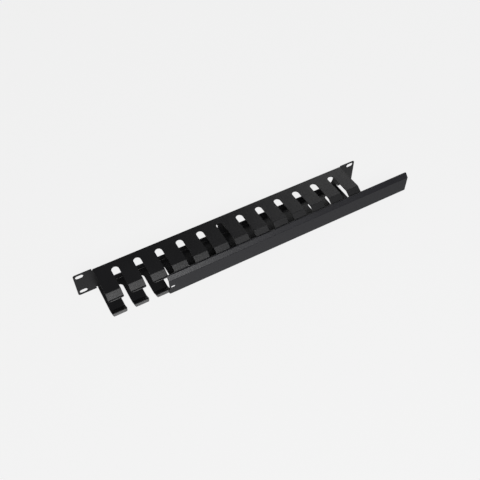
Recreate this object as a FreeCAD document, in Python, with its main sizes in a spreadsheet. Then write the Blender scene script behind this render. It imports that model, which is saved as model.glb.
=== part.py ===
import FreeCAD, Part
import math
import os
import re
import Sketcher

# Horizontal cable manager for a 19-inch rack, one unit high: two folded steel sheets.
# finger_panel: back plate with ears and two windows, and two flanges cut into rows of fingers,
#               each finger ending in a lip that slopes inward and a short tip flared outward.
# cover:        channel over the open front; its hooks reach behind the flared tips, so that it
#               slides along the rows.
# X runs along the rack's width, -Y faces the user and Z is up. The origin is the centre of the
# four mounting slots, on the front face of the back plate.

doc = FreeCAD.newDocument("HorizontalCableManager")

# Lengths are in millimetres and angles in degrees.
SIZES = [
    ("panel_width", 482.6, "overall width over the ears"),
    ("ear_width", 29.3, "width of one ear, from the flange ends outwards"),
    ("ear_corner", 3.0, "corner radius of an ear"),
    ("mount_pitch", 31.75, "height between the two mounting slots of an ear"),
    ("mount_inset", 8.75, "mounting slot centre to the side edge of the ear"),
    ("mount_rim", 6.125, "mounting slot centre to the top or bottom edge of the ear"),
    ("mount_long", 12.0, "length of a mounting slot"),
    ("mount_wide", 7.0, "width of a mounting slot"),
    ("panel_sheet", 1.2, "sheet thickness of the finger panel"),
    ("panel_bend", 1.0, "inside bend radius of the finger panel"),
    ("flange_step", 0.4, "drop from the ear's edge to the flange's outer face"),
    ("relief_width", 1.6, "slit between a flange end and its ear"),
    ("relief_depth", 1.0, "how far the slit runs past the bend"),
    ("window_height", 22.6, "height of a rear window, whose ends are fully round"),
    ("window_margin", 10.0, "window's outer end to the flange's end"),
    ("window_bridge", 25.0, "plate left between the two windows"),
    ("gap_count", 12, "gaps in a row of fingers"),
    ("gap_width", 10.9, "width of a gap between two fingers"),
    ("gap_root", 10.6, "back plate to the round closed end of a gap"),
    ("finger_flat", 49.2, "back plate to the start of the lip's bend"),
    ("lip_angle", 32.5, "inward slope of a lip"),
    ("lip_length", 9.8, "straight length of a lip"),
    ("flare_angle", 40.0, "outward slope of a flared tip"),
    ("flare_length", 3.3, "straight length of a flared tip"),
    ("tip_corner", 4.5, "corner radius of a finger tip, seen from above"),
    ("cover_sheet", 1.0, "sheet thickness of the cover"),
    ("cover_bend", 0.6, "inside bend radius of the cover"),
    ("bevel_angle", 45.0, "slope of the cover's bevels"),
    ("bevel_length", 6.7, "straight length of a bevel"),
    ("hook_length", 1.4, "straight length of a hook"),
    ("hook_play", 0.45, "clearance between the cover and the flared tips"),
    ("cover_out", 86.1, "how far the cover is slid to the right"),
    ("hole_long", 6.6, "length of the oval hole in the cover"),
    ("hole_high", 3.8, "height of the oval hole in the cover"),
    ("hole_inset", 5.4, "centre of the oval hole to the cover's left end"),
]

sheet = doc.addObject("Spreadsheet::Sheet", "Sizes")
for row, (alias, value, note) in enumerate(SIZES, start=1):
    sheet.set("A%d" % row, alias)
    sheet.set("B%d" % row, str(value))
    sheet.set("C%d" % row, note)
    sheet.setAlias("B%d" % row, alias)
doc.recompute()

# Sizes that follow from the others.
EAR_HALF = "(mount_pitch / 2 + mount_rim)"
WEB_HALF = "(mount_pitch / 2 + mount_rim - flange_step - panel_sheet - panel_bend)"
ROW_LENGTH = "(panel_width - 2 * ear_width)"
PITCH = "((panel_width - 2 * ear_width + gap_width) / (gap_count + 1))"
TIP_REACH = ("(finger_flat + (2 * panel_bend + panel_sheet) * sin(lip_angle * 1 deg)"
             " + lip_length * cos(lip_angle * 1 deg) + panel_bend * sin(flare_angle * 1 deg)"
             " + flare_length * cos(flare_angle * 1 deg))")
TIP_HALF = ("(mount_pitch / 2 + mount_rim - flange_step - panel_bend - panel_sheet"
            " + (2 * panel_bend + panel_sheet) * cos(lip_angle * 1 deg)"
            " - lip_length * sin(lip_angle * 1 deg) - panel_bend * cos(flare_angle * 1 deg)"
            " + flare_length * sin(flare_angle * 1 deg))")
TIP_FRONT = "(" + TIP_REACH + " + panel_sheet * sin(flare_angle * 1 deg))"
# The cuts that round the tips end just past the tips' front edge, so that they leave no sliver.
MOUTH = "(" + TIP_FRONT + " + tip_corner / 20)"


def bound(formula):
    """Formula with every size's name pointing at its cell."""
    names = "|".join(alias for alias, value, note in SIZES)
    return re.sub(r"\b(" + names + r")\b", r"Sizes.\1", formula)


def number(formula):
    """Value of a formula over the cells, in millimetres or degrees."""
    result = sheet.evalExpression(bound(formula))
    return float(getattr(result, "Value", result))


def plane(body, role):
    for item in body.Origin.OriginFeatures:
        if item.Role == role:
            return item
    raise ValueError(role)


def sketch_on(body, role, name):
    sketch = body.newObject("Sketcher::SketchObject", name)
    sketch.AttachmentSupport = [(plane(body, role), "")]
    sketch.MapMode = "FlatFace"
    return sketch


def vec(point):
    return FreeCAD.Vector(point[0], point[1], 0)


def towards(angle, length):
    """Vector of a length in a direction given in degrees."""
    return (length * math.cos(math.radians(angle)), length * math.sin(math.radians(angle)))


def shifted(point, step):
    return (point[0] + step[0], point[1] + step[1])


def line(sketch, start, end):
    return sketch.addGeometry(Part.LineSegment(vec(start), vec(end)), False)


def arc(sketch, centre, radius, first, last):
    """Anticlockwise arc between two directions in degrees."""
    circle = Part.Circle(vec(centre), FreeCAD.Vector(0, 0, 1), radius)
    piece = Part.ArcOfCircle(circle, math.radians(first), math.radians(last))
    return sketch.addGeometry(piece, False)


def rule(sketch, kind, *args):
    return sketch.addConstraint(Sketcher.Constraint(kind, *args))


def size(sketch, name, kind, args, formula):
    """Dimension whose value is bound to the cells."""
    value = number(formula)
    if kind == "Angle":
        value = math.radians(value)
    index = sketch.addConstraint(Sketcher.Constraint(kind, *args, value))
    sketch.renameConstraint(index, name)
    sketch.setExpression("Constraints." + name, bound(formula))


def oval(sketch, tag, centre, length, width, place):
    """Slot with round ends along the first axis, at a centre given by two formulas."""
    cx, cy = number(centre[0]), number(centre[1])
    radius = number(width) / 2
    half = number(length) / 2 - radius
    top = line(sketch, (cx + half, cy + radius), (cx - half, cy + radius))
    left = arc(sketch, (cx - half, cy), radius, 90, 270)
    low = line(sketch, (cx - half, cy - radius), (cx + half, cy - radius))
    right = arc(sketch, (cx + half, cy), radius, -90, 90)
    for one, two in ((top, left), (left, low), (low, right), (right, top)):
        rule(sketch, "Tangent", one, 2, two, 1)
    rule(sketch, "Horizontal", top)
    rule(sketch, "Equal", left, right)
    size(sketch, tag + "_radius", "Radius", (left,), width + " / 2")
    size(sketch, tag + "_span", "DistanceX", (left, 3, right, 3), length + " - " + width)
    size(sketch, tag + "_x", "DistanceX", (-1, 1, left, 3),
         centre[0] + " - (" + length + " - " + width + ") / 2")
    if place == "axis":
        rule(sketch, "PointOnObject", left, 3, -1)
    else:
        size(sketch, tag + "_y", "DistanceY", (-1, 1, left, 3), centre[1])


def folded(sketch, start, side, thickness, radius, legs):
    """Half section of a folded sheet that starts upright on the first axis.

    side is 1 where the sheet lies left of the outer face, or -1 where it lies right of it.
    Each leg is (name, direction, formula of its straight length or None, length to start from),
    where a direction is the rule Vertical or Horizontal, or the formula of an angle.
    Returns the inner face's line of each leg.
    """
    wall = number(thickness)
    bend = number(radius)
    faces = ([], [])
    bends = []
    point = start
    plain = {"Vertical": 90.0, "Horizontal": 180.0}
    heads = [plain[way] if way in plain else number(way) for name, way, length, guess in legs]
    for step, (name, way, length, guess) in enumerate(legs):
        head = heads[step]
        ahead = towards(head, guess)
        for face, off in ((0, 0.0), (1, side * wall)):
            begin = shifted(point, towards(head + 90, off))
            faces[face].append(line(sketch, begin, shifted(begin, ahead)))
        point = shifted(point, ahead)
        if step + 1 < len(legs):
            turn = (heads[step + 1] - head + 180) % 360 - 180
            sign = math.copysign(1, turn)
            outer = bend + wall if sign * side > 0 else bend
            centre = shifted(point, towards(head + 90, sign * outer))
            pair = []
            for off in (outer, outer - sign * side * wall):
                first = head - 90 if sign > 0 else head + turn + 90
                pair.append(arc(sketch, centre, off, first, first + abs(turn)))
            bends.append((pair, sign, outer > bend))
            point = shifted(centre, towards(head + turn + 90, -sign * outer))
    for step, (pair, sign, wraps) in enumerate(bends):
        into, out = (1, 2) if sign > 0 else (2, 1)
        for face in (0, 1):
            rule(sketch, "Tangent", faces[face][step], 2, pair[face], into)
            rule(sketch, "Tangent", pair[face], out, faces[face][step + 1], 1)
        rule(sketch, "Coincident", pair[0], 3, pair[1], 3)
        size(sketch, "bend_%d" % step, "Radius", (pair[1] if wraps else pair[0],), radius)
    for step, (name, way, length, guess) in enumerate(legs):
        rule(sketch, "Parallel", faces[0][step], faces[1][step])
        if way in plain:
            rule(sketch, way, faces[0][step])
        else:
            size(sketch, name + "_angle", "Angle", (faces[0][step],), way)
        if length:
            size(sketch, name + "_length", "Distance", (faces[0][step],), length)
    ends = [shifted(point, towards(heads[-1] + 90, off)) for off in (0.0, side * wall)]
    cap = line(sketch, ends[0], ends[1])
    rule(sketch, "Coincident", faces[0][-1], 2, cap, 1)
    rule(sketch, "Coincident", cap, 2, faces[1][-1], 2)
    rule(sketch, "Perpendicular", cap, faces[0][-1])
    size(sketch, "thickness", "Distance", (cap,), thickness)
    foot = line(sketch, shifted(start, towards(180, side * wall)), start)
    rule(sketch, "Coincident", foot, 1, faces[1][0], 1)
    rule(sketch, "Coincident", foot, 2, faces[0][0], 1)
    rule(sketch, "PointOnObject", foot, 1, -1)
    rule(sketch, "PointOnObject", foot, 2, -1)
    return faces[1]


def pad(body, name, sketch, length, both):
    feature = body.newObject("PartDesign::Pad", name)
    feature.Profile = sketch
    feature.SideType = "Symmetric" if both else "One side"
    feature.Length = number(length)
    feature.setExpression("Length", bound(length))
    sketch.Visibility = False
    return feature


def through(body, name, sketch):
    feature = body.newObject("PartDesign::Pocket", name)
    feature.Profile = sketch
    feature.SideType = "Symmetric"
    feature.Type = "ThroughAll"
    sketch.Visibility = False
    return feature


def mirrored(body, name, originals, role):
    feature = body.newObject("PartDesign::Mirrored", name)
    feature.Originals = originals
    feature.MirrorPlane = (plane(body, role), [""])
    body.Tip = feature
    doc.recompute()
    return feature


def cut_volume(body, feature):
    """Volume that a pocket takes away; a pocket that cuts nothing stops the build."""
    doc.recompute()
    taken = feature.BaseFeature.Shape.Volume - feature.Shape.Volume
    if taken < 0.1:
        raise RuntimeError("%s cuts nothing" % feature.Label)


# ------------------------------------------------------------------ finger panel
panel = doc.addObject("PartDesign::Body", "finger_panel")
panel.Label = "finger_panel"

section = sketch_on(panel, "YZ_Plane", "PanelSection")
panel_legs = [
    ("web", "Vertical", WEB_HALF, number(WEB_HALF)),
    ("flange", "Horizontal", "finger_flat - panel_bend", number("finger_flat - panel_bend")),
    ("lip", "lip_angle - 180", "lip_length", number("lip_length")),
    ("flare", "180 - flare_angle", "flare_length", number("flare_length")),
]
inner = folded(section, (number("panel_sheet"), 0), 1, "panel_sheet", "panel_bend", panel_legs)
rule(section, "PointOnObject", inner[0], 1, -2)
half = pad(panel, "HalfChannel", section, ROW_LENGTH, True)
doc.recompute()
mirrored(panel, "Channel", [half], "XY_Plane")

# One ear, joined to the web below the slit beside the flange's bend.
ear = sketch_on(panel, "XZ_Plane", "EarOutline")
x0 = number(ROW_LENGTH) / 2
x1 = x0 + number("relief_width")
x2 = number("panel_width") / 2
z1 = number(WEB_HALF) - number("relief_depth")
z2 = number(EAR_HALF)
rc = number("ear_corner")
corners = [(x0, -z1), (x1, -z1), (x1, -z2), (x2 - rc, -z2), (x2, -z2 + rc), (x2, z2 - rc),
           (x2 - rc, z2), (x1, z2), (x1, z1), (x0, z1)]
e_low = line(ear, corners[0], corners[1])
e_slit_low = line(ear, corners[1], corners[2])
e_bottom = line(ear, corners[2], corners[3])
e_arc_low = arc(ear, (x2 - rc, -z2 + rc), rc, -90, 0)
e_side = line(ear, corners[4], corners[5])
e_arc_high = arc(ear, (x2 - rc, z2 - rc), rc, 0, 90)
e_top = line(ear, corners[6], corners[7])
e_slit_high = line(ear, corners[7], corners[8])
e_high = line(ear, corners[8], corners[9])
e_root = line(ear, corners[9], corners[0])
for one, two in ((e_low, e_slit_low), (e_slit_low, e_bottom), (e_top, e_slit_high),
                 (e_slit_high, e_high), (e_high, e_root), (e_root, e_low)):
    rule(ear, "Coincident", one, 2, two, 1)
for one, two in ((e_bottom, e_arc_low), (e_arc_low, e_side), (e_side, e_arc_high),
                 (e_arc_high, e_top)):
    rule(ear, "Tangent", one, 2, two, 1)
for item in (e_low, e_bottom, e_top, e_high):
    rule(ear, "Horizontal", item)
for item in (e_slit_low, e_slit_high, e_side):
    rule(ear, "Vertical", item)
rule(ear, "Equal", e_arc_low, e_arc_high)
rule(ear, "Symmetric", e_high, 2, e_low, 1, -1)
rule(ear, "Symmetric", e_top, 2, e_bottom, 1, -1)
size(ear, "corner", "Radius", (e_arc_low,), "ear_corner")
size(ear, "root_x", "DistanceX", (-1, 1, e_root, 2), ROW_LENGTH + " / 2")
size(ear, "slit", "DistanceX", (e_low, 1, e_low, 2), "relief_width")
size(ear, "reach", "DistanceX", (-1, 1, e_side, 1), "panel_width / 2")
size(ear, "root_z", "DistanceY", (-1, 1, e_high, 2), WEB_HALF + " - relief_depth")
size(ear, "height", "DistanceY", (e_bottom, 1, e_top, 2), "2 * " + EAR_HALF)
ear_pad = pad(panel, "Ear", ear, "panel_sheet", False)
ear_pad.Reversed = True
doc.recompute()

slots = sketch_on(panel, "XZ_Plane", "MountSlots")
slot_x = "panel_width / 2 - mount_inset"
oval(slots, "high", (slot_x, "mount_pitch / 2"), "mount_long", "mount_wide", "free")
oval(slots, "low", (slot_x, "-mount_pitch / 2"), "mount_long", "mount_wide", "free")
slot_cut = through(panel, "MountSlotCut", slots)
cut_volume(panel, slot_cut)

window = sketch_on(panel, "XZ_Plane", "WindowOutline")
window_length = "(" + ROW_LENGTH + " / 2 - window_margin - window_bridge / 2)"
window_x = "window_bridge / 2 + " + window_length + " / 2"
oval(window, "window", (window_x, "0"), window_length, "window_height", "axis")
window_cut = through(panel, "WindowCut", window)
cut_volume(panel, window_cut)

# Rounded outer corner of the last finger's tip, in both rows.
corner = sketch_on(panel, "XY_Plane", "EndCorner")
cr = number("tip_corner")
cx = number(ROW_LENGTH) / 2 - cr
cy = cr - number(MOUTH)
c_arc = arc(corner, (cx, cy), cr, -90, 0)
c_side = line(corner, (cx + cr, cy), (cx + 2 * cr, cy))
c_far = line(corner, (cx + 2 * cr, cy), (cx + 2 * cr, cy - 2 * cr))
c_front = line(corner, (cx + 2 * cr, cy - 2 * cr), (cx, cy - 2 * cr))
c_back = line(corner, (cx, cy - 2 * cr), (cx, cy - cr))
for one, two in ((c_side, c_far), (c_far, c_front), (c_front, c_back)):
    rule(corner, "Coincident", one, 2, two, 1)
rule(corner, "Coincident", c_arc, 2, c_side, 1)
rule(corner, "Coincident", c_back, 2, c_arc, 1)
rule(corner, "Horizontal", c_side)
rule(corner, "Horizontal", c_front)
rule(corner, "Vertical", c_far)
rule(corner, "Vertical", c_arc, 3, c_arc, 1)
rule(corner, "Vertical", c_back)
rule(corner, "Horizontal", c_arc, 3, c_arc, 2)
rule(corner, "Equal", c_side, c_back)
size(corner, "radius", "Radius", (c_arc,), "tip_corner")
size(corner, "past", "Distance", (c_side,), "tip_corner")
size(corner, "end_x", "DistanceX", (-1, 1, c_arc, 2), ROW_LENGTH + " / 2")
size(corner, "mouth", "DistanceY", (c_arc, 1, -1, 1), MOUTH)
corner_cut = through(panel, "EndCornerCut", corner)
cut_volume(panel, corner_cut)
mirrored(panel, "BothEnds", [ear_pad, slot_cut, window_cut, corner_cut], "YZ_Plane")

# One gap through both rows, round at its closed end and flared where it leaves the tips.
gap = sketch_on(panel, "XY_Plane", "GapOutline")
gr = number("gap_width") / 2
gx = -(number("gap_count") - 1) / 2 * number(PITCH)
root = -number("gap_root") - gr
g_root = arc(gap, (gx, root), gr, 0, 180)
g_left = line(gap, (gx - gr, root), (gx - gr, cy))
g_left_tip = arc(gap, (gx - gr - cr, cy), cr, -90, 0)
g_left_out = line(gap, (gx - gr - cr, cy - cr), (gx - gr - cr, cy - 2 * cr))
g_front = line(gap, (gx - gr - cr, cy - 2 * cr), (gx + gr + cr, cy - 2 * cr))
g_right_out = line(gap, (gx + gr + cr, cy - 2 * cr), (gx + gr + cr, cy - cr))
g_right_tip = arc(gap, (gx + gr + cr, cy), cr, 180, 270)
g_right = line(gap, (gx + gr, cy), (gx + gr, root))
rule(gap, "Tangent", g_root, 2, g_left, 1)
rule(gap, "Tangent", g_left, 2, g_left_tip, 2)
rule(gap, "Coincident", g_left_tip, 1, g_left_out, 1)
rule(gap, "Coincident", g_left_out, 2, g_front, 1)
rule(gap, "Coincident", g_front, 2, g_right_out, 1)
rule(gap, "Coincident", g_right_out, 2, g_right_tip, 2)
rule(gap, "Tangent", g_right_tip, 1, g_right, 1)
rule(gap, "Tangent", g_right, 2, g_root, 1)
rule(gap, "Vertical", g_left)
rule(gap, "Vertical", g_right)
rule(gap, "Vertical", g_left_out)
rule(gap, "Vertical", g_right_out)
rule(gap, "Horizontal", g_front)
rule(gap, "Equal", g_left_tip, g_right_tip)
rule(gap, "Equal", g_left_out, g_right_out)
rule(gap, "Vertical", g_left_tip, 3, g_left_tip, 1)
rule(gap, "Vertical", g_right_tip, 3, g_right_tip, 2)
size(gap, "root_radius", "Radius", (g_root,), "gap_width / 2")
size(gap, "tip_radius", "Radius", (g_left_tip,), "tip_corner")
size(gap, "past", "Distance", (g_left_out,), "tip_corner")
size(gap, "first_x", "DistanceX", (g_root, 3, -1, 1), "(gap_count - 1) / 2 * " + PITCH)
size(gap, "root_y", "DistanceY", (g_root, 3, -1, 1), "gap_root + gap_width / 2")
size(gap, "mouth", "DistanceY", (g_left_tip, 1, -1, 1), MOUTH)
gap_cut = through(panel, "GapCut", gap)
cut_volume(panel, gap_cut)

gaps = panel.newObject("PartDesign::LinearPattern", "Gaps")
gaps.Originals = [gap_cut]
gaps.Direction = (plane(panel, "X_Axis"), [""])
gaps.Mode = "Spacing"
gaps.Offset = number(PITCH)
gaps.setExpression("Offset", bound(PITCH))
gaps.Occurrences = int(number("gap_count"))
gaps.setExpression("Occurrences", bound("gap_count"))
panel.Tip = gaps
doc.recompute()

# ------------------------------------------------------------------ cover
cover = doc.addObject("PartDesign::Body", "cover")
cover.Label = "cover"

shape = sketch_on(cover, "YZ_Plane", "CoverSection")
bevel = number("bevel_angle")
flare = number("flare_angle")
play = number("hook_play")
bend = number("cover_bend")
ease = math.tan(math.radians((bevel + flare) / 2))
tip = (-number(TIP_REACH), number(TIP_HALF))
peak = shifted(shifted(tip, towards(bevel, play * ease)), towards(bevel + 90, play))
foot = shifted(peak, towards(bevel, -bend * ease - number("bevel_length")))
turn_centre = shifted(foot, towards(bevel - 90, bend))
front = turn_centre[0] - bend - number("cover_sheet")
cover_legs = [
    ("front", "Vertical", None, turn_centre[1]),
    ("bevel", "bevel_angle", "bevel_length", number("bevel_length")),
    ("hook", "-flare_angle", "hook_length", number("hook_length")),
]
inner = folded(shape, (front, 0), -1, "cover_sheet", "cover_bend", cover_legs)
# The flared tip that the hook reaches behind: the hook and the bevel keep the play to it.
mark = shape.addGeometry(Part.Point(vec(tip)), True)
size(shape, "tip_reach", "DistanceX", (mark, 1, -1, 1), TIP_REACH)
size(shape, "tip_half", "DistanceY", (-1, 1, mark, 1), TIP_HALF)
size(shape, "bevel_play", "Distance", (mark, 1, inner[1]), "hook_play")
size(shape, "hook_play", "Distance", (mark, 1, inner[2]), "hook_play")
cover_half = pad(cover, "HalfCover", shape, ROW_LENGTH, True)
doc.recompute()
mirrored(cover, "WholeCover", [cover_half], "XY_Plane")

hole = sketch_on(cover, "XZ_Plane", "HoleOutline")
hole_x = "hole_inset - " + ROW_LENGTH + " / 2"
oval(hole, "hole", (hole_x, "0"), "hole_long", "hole_high", "axis")
hole_cut = through(cover, "HoleCut", hole)
cut_volume(cover, hole_cut)
cover.Placement = FreeCAD.Placement(FreeCAD.Vector(number("cover_out"), 0, 0), FreeCAD.Rotation())
cover.setExpression("Placement.Base.x", bound("cover_out"))
doc.recompute()

# ------------------------------------------------------------------ checks and files
for item in doc.Objects:
    if "Invalid" in item.State or "Error" in item.State:
        raise RuntimeError("%s: %s" % (item.Label, item.State))
    if item.TypeId == "Sketcher::SketchObject" and not item.FullyConstrained:
        raise RuntimeError("%s is not fully constrained" % item.Label)
for body in (panel, cover):
    solid = body.Shape
    if solid.isNull() or not solid.isValid() or len(solid.Solids) != 1:
        raise RuntimeError("%s is not one valid solid" % body.Label)
    print("%s: %.1f mm3, %d faces" % (body.Label, solid.Volume, len(solid.Faces)))
    print("  %s" % solid.BoundBox)
print("least distance %.3f mm" % panel.Shape.distToShape(cover.Shape)[0])

os.makedirs("parts", exist_ok=True)
for body in (panel, cover):
    body.Shape.exportStep("parts/%s.step" % body.Label)
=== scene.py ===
import bmesh
import bpy
from mathutils import Matrix, Vector


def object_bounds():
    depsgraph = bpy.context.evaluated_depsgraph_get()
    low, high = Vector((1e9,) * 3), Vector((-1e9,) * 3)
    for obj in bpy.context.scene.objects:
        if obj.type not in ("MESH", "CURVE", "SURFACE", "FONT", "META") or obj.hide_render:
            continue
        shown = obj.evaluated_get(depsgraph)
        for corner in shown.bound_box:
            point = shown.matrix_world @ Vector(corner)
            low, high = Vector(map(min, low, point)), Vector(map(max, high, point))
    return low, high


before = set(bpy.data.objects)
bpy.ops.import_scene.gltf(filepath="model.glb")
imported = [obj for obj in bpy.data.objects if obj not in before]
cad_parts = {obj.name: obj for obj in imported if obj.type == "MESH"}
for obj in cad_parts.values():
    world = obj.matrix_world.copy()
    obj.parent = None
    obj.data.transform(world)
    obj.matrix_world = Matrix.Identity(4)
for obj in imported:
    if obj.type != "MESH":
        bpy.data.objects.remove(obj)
cad_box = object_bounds()

MM = 0.001

# Grey levels run from 0 to 255, as they look on a screen.
COAT_GREY = 26
WORN_GREY = 70
FLOOR_GREY = 243
SHOWN_GREY = 244
SHOWN_SHARE = 0.94

COAT_ROUGHNESS = 0.42
PEEL_SCALE = 420.0
GRAIN_SCALE = 2600.0
CLOUD_SCALE = 14.0
WEAR_SCALE = 160.0
EDGE_RADIUS = 0.3 * MM
GRAIN_DEPTH = 0.22 * MM

FLOOR_HALF = 6.0
FLOOR_DROP = 0.02 * MM

LENS = 46.35
CAMERA_PLACE = (-0.2859, -0.5744, 0.7065)
CAMERA_RIGHT = (0.8725, -0.4884, -0.0114)
CAMERA_AHEAD = (0.3111, 0.5734, -0.7579)


# ------------------------------------------------------------------ node tools
def linear(level):
    """Linear value of a grey level."""
    share = level / 255
    return share / 12.92 if share <= 0.04045 else ((share + 0.055) / 1.055) ** 2.4


def grey(level, share=1.0, blue=1.0):
    """Colour of a grey level, made lighter or darker by share, with its blue raised."""
    value = linear(level) * share
    return (value, value, value * blue, 1)


def socket(group, name, kind, way, value=None):
    made = group.interface.new_socket(name=name, in_out=way, socket_type=kind)
    if value is not None:
        made.default_value = value


def node(tree, kind, **settings):
    made = tree.nodes.new(kind)
    for name, value in settings.items():
        setattr(made, name, value)
    return made


def feed(tree, value, target):
    """Give a socket a number, or link another socket to it."""
    if isinstance(value, (int, float)):
        target.default_value = value
    else:
        tree.links.new(value, target)


def maths(tree, operation, first, second):
    made = node(tree, "ShaderNodeMath", operation=operation)
    feed(tree, first, made.inputs[0])
    feed(tree, second, made.inputs[1])
    return made.outputs[0]


def noise(tree, place, scale, detail, roughness=0.5):
    made = node(tree, "ShaderNodeTexNoise")
    feed(tree, scale, made.inputs["Scale"])
    feed(tree, detail, made.inputs["Detail"])
    feed(tree, roughness, made.inputs["Roughness"])
    feed(tree, place, made.inputs["Vector"])
    return made.outputs["Fac"]


def spread(tree, value, low, high, to_low, to_high):
    """Value stretched from one range to another, and held at its ends."""
    made = node(tree, "ShaderNodeMapRange", clamp=True)
    feed(tree, value, made.inputs["Value"])
    for name, number in (("From Min", low), ("From Max", high),
                         ("To Min", to_low), ("To Max", to_high)):
        feed(tree, number, made.inputs[name])
    return made.outputs["Result"]


def object_place(tree):
    return node(tree, "ShaderNodeTexCoord").outputs["Object"]


# ------------------------------------------------------------------ shared effects
def powder_grain():
    """Orange peel and fine grain of a baked powder coat, as a height and as masks."""
    tree = bpy.data.node_groups.new("powder grain", "ShaderNodeTree")
    socket(tree, "Peel scale", "NodeSocketFloat", "INPUT", PEEL_SCALE)
    socket(tree, "Height", "NodeSocketFloat", "OUTPUT")
    socket(tree, "Cloud", "NodeSocketFloat", "OUTPUT")
    socket(tree, "Speck", "NodeSocketFloat", "OUTPUT")
    ins = node(tree, "NodeGroupInput")
    outs = node(tree, "NodeGroupOutput")
    place = object_place(tree)
    peel = noise(tree, place, ins.outputs["Peel scale"], 2.0)
    fine = noise(tree, place, GRAIN_SCALE, 2.0, 0.6)
    height = maths(tree, "ADD", maths(tree, "MULTIPLY", peel, 0.7),
                   maths(tree, "MULTIPLY", fine, 0.3))
    feed(tree, height, outs.inputs["Height"])
    feed(tree, noise(tree, place, CLOUD_SCALE, 3.0), outs.inputs["Cloud"])
    feed(tree, spread(tree, fine, 0.62, 0.8, 0.0, 1.0), outs.inputs["Speck"])
    return tree


def edge_wear():
    """Normal that rounds the sheet's cut edges, and a mask of where the coat thins on them."""
    tree = bpy.data.node_groups.new("edge wear", "ShaderNodeTree")
    socket(tree, "Radius", "NodeSocketFloat", "INPUT", EDGE_RADIUS)
    socket(tree, "Mask", "NodeSocketFloat", "OUTPUT")
    socket(tree, "Normal", "NodeSocketVector", "OUTPUT")
    ins = node(tree, "NodeGroupInput")
    outs = node(tree, "NodeGroupOutput")
    soft = node(tree, "ShaderNodeBevel", samples=6)
    feed(tree, ins.outputs["Radius"], soft.inputs["Radius"])
    flat = node(tree, "ShaderNodeNewGeometry")
    product = node(tree, "ShaderNodeVectorMath", operation="DOT_PRODUCT")
    feed(tree, soft.outputs["Normal"], product.inputs[0])
    feed(tree, flat.outputs["Normal"], product.inputs[1])
    patches = noise(tree, object_place(tree), WEAR_SCALE, 4.0, 0.65)
    broken = spread(tree, patches, 0.38, 0.66, 0.15, 1.0)
    edge = spread(tree, product.outputs["Value"], 0.97, 0.8, 0.0, 1.0)
    feed(tree, maths(tree, "MULTIPLY", edge, broken), outs.inputs["Mask"])
    feed(tree, soft.outputs["Normal"], outs.inputs["Normal"])
    return tree


GRAIN = powder_grain()
WEAR = edge_wear()


def powder_coat(name, blue):
    """Black semi-gloss powder coat with a given share of extra blue."""
    material = bpy.data.materials.new(name)
    material.use_nodes = True
    tree = material.node_tree
    shader = tree.nodes["Principled BSDF"]
    grain = node(tree, "ShaderNodeGroup", node_tree=GRAIN)
    grain.inputs["Peel scale"].default_value = PEEL_SCALE
    wear = node(tree, "ShaderNodeGroup", node_tree=WEAR)
    wear.inputs["Radius"].default_value = EDGE_RADIUS

    base = node(tree, "ShaderNodeMix", data_type="RGBA")
    base.inputs["A"].default_value = grey(COAT_GREY, 0.85, blue)
    base.inputs["B"].default_value = grey(COAT_GREY, 1.2, blue)
    feed(tree, grain.outputs["Cloud"], base.inputs["Factor"])
    rubbed = node(tree, "ShaderNodeMix", data_type="RGBA")
    rubbed.inputs["B"].default_value = grey(WORN_GREY, 1.0, 1.02)
    feed(tree, base.outputs["Result"], rubbed.inputs["A"])
    feed(tree, maths(tree, "MULTIPLY", wear.outputs["Mask"], 0.6), rubbed.inputs["Factor"])
    feed(tree, rubbed.outputs["Result"], shader.inputs["Base Color"])

    clouded = spread(tree, grain.outputs["Cloud"], 0.3, 0.7,
                     COAT_ROUGHNESS - 0.03, COAT_ROUGHNESS + 0.03)
    specked = maths(tree, "MULTIPLY", grain.outputs["Speck"], 0.08)
    feed(tree, maths(tree, "ADD", clouded, specked), shader.inputs["Roughness"])

    bump = node(tree, "ShaderNodeBump")
    bump.inputs["Strength"].default_value = 0.6
    bump.inputs["Distance"].default_value = GRAIN_DEPTH
    feed(tree, grain.outputs["Height"], bump.inputs["Height"])
    feed(tree, wear.outputs["Normal"], bump.inputs["Normal"])
    feed(tree, bump.outputs["Normal"], shader.inputs["Normal"])
    return material


COATS = {
    "finger_panel": powder_coat("panel powder coat", 1.1),
    "cover": powder_coat("cover powder coat", 1.3),
}
for name, material in COATS.items():
    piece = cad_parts[name]
    piece.data.materials.clear()
    piece.data.materials.append(material)


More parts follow.
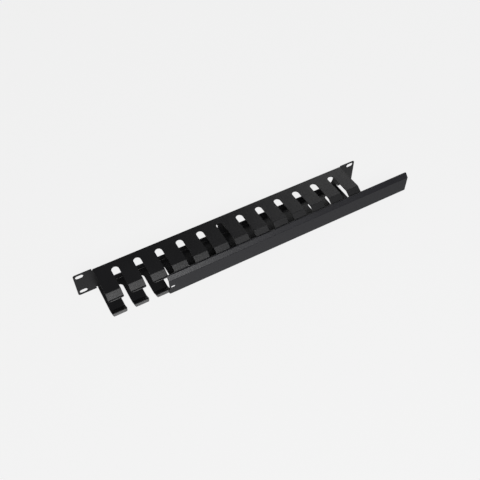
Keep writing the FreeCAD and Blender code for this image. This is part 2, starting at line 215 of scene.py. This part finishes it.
# ------------------------------------------------------------------ floor, light and camera
def floor_paint():
    """Pale paint that takes shadows and shows pale to the eye, with a painted reflection that
    glows dimmer in reflections.
    """
    material = bpy.data.materials.new("pale floor")
    material.use_nodes = True
    tree = material.node_tree
    tree.nodes.clear()
    paint = node(tree, "ShaderNodeBsdfDiffuse")
    paint.inputs["Color"].default_value = grey(FLOOR_GREY)
    glow = node(tree, "ShaderNodeEmission")
    glow.inputs["Color"].default_value = grey(SHOWN_GREY)
    ray = node(tree, "ShaderNodeLightPath")
    mirrored = maths(tree, "MAXIMUM", ray.outputs["Is Glossy Ray"],
                     ray.outputs["Is Transmission Ray"])
    shown = maths(tree, "MAXIMUM", ray.outputs["Is Camera Ray"], mirrored)
    # In reflections the floor's glow is painted darker from left to right, and darker again
    # under the left ear: a painted reflection that stands in for shade on the ear and towards
    # the right end of the panel.
    across = node(tree, "ShaderNodeSeparateXYZ")
    feed(tree, object_place(tree), across.inputs["Vector"])
    painted_reflection_falloff = spread(tree, across.outputs["X"], -0.2, 0.35, 0.68, 0.4)
    painted_ear_shade = spread(tree, across.outputs["X"], -0.24, -0.14, 0.6, 1.0)
    painted_reflection_shade = maths(tree, "MULTIPLY", painted_reflection_falloff, painted_ear_shade)
    # Reflection rays get the painted, place-dependent shade strength; camera rays get full
    # strength.
    feed(tree, spread(tree, ray.outputs["Is Camera Ray"], 0.0, 1.0, painted_reflection_shade, 1.0),
         glow.inputs["Strength"])
    mix = node(tree, "ShaderNodeMixShader")
    feed(tree, maths(tree, "MULTIPLY", shown, SHOWN_SHARE), mix.inputs["Fac"])
    feed(tree, paint.outputs["BSDF"], mix.inputs[1])
    feed(tree, glow.outputs["Emission"], mix.inputs[2])
    out = node(tree, "ShaderNodeOutputMaterial")
    feed(tree, mix.outputs["Shader"], out.inputs["Surface"])
    return material


def backdrop():
    """Floor just under the ears."""
    mesh = bpy.data.meshes.new("floor")
    sheet = bmesh.new()
    bmesh.ops.create_grid(sheet, x_segments=1, y_segments=1, size=FLOOR_HALF,
                          matrix=Matrix.Translation((0, 0, cad_box[0][2] - FLOOR_DROP)))
    sheet.to_mesh(mesh)
    sheet.free()
    floor = bpy.data.objects.new("floor", mesh)
    bpy.context.scene.collection.objects.link(floor)
    floor.data.materials.append(floor_paint())


def studio_light(name, place, width, height, power):
    """Soft rectangular lamp aimed at the middle of the panel."""
    lamp = bpy.data.lights.new(name, "AREA")
    lamp.shape = "RECTANGLE"
    lamp.size = width
    lamp.size_y = height
    lamp.energy = power
    holder = bpy.data.objects.new(name, lamp)
    holder.location = place
    holder.rotation_euler = (-Vector(place)).to_track_quat("-Z", "Y").to_euler()
    bpy.context.scene.collection.objects.link(holder)


def world_glow(level):
    """Dim even glow on the object, and pale to the eye beyond the floor's far edge."""
    world = bpy.data.worlds.new("studio")
    world.use_nodes = True
    tree = world.node_tree
    back = tree.nodes["Background"]
    ray = node(tree, "ShaderNodeLightPath")
    feed(tree, spread(tree, ray.outputs["Is Camera Ray"], 0.0, 1.0, level,
                      SHOWN_SHARE * linear(SHOWN_GREY)), back.inputs["Strength"])
    back.inputs["Color"].default_value = (1, 1, 1, 1)
    bpy.context.scene.world = world


def studio_camera():
    camera = bpy.data.cameras.new("camera")
    camera.lens = LENS
    camera.sensor_width = 36
    eye = bpy.data.objects.new("camera", camera)
    ahead = Vector(CAMERA_AHEAD).normalized()
    right = Vector(CAMERA_RIGHT).normalized()
    right = (right - ahead * right.dot(ahead)).normalized()
    turn = Matrix((right, right.cross(ahead), -ahead)).transposed().to_4x4()
    eye.matrix_world = Matrix.Translation(CAMERA_PLACE) @ turn
    bpy.context.scene.collection.objects.link(eye)
    bpy.context.scene.camera = eye


backdrop()
world_glow(0.01)
studio_light("key light", (-0.35, -1.35, 1.25), 1.0, 0.8, 31.5)
studio_light("rim light", (1.35, 1.0, 1.1), 1.0, 1.0, 5.3)
studio_light("side light", (1.4, -1.0, 0.9), 0.9, 0.9, 0.8)
studio_light("top light", (-0.2, -0.55, 1.85), 0.9, 0.6, 1.0)
studio_camera()
bpy.context.scene.view_settings.view_transform = "Standard"
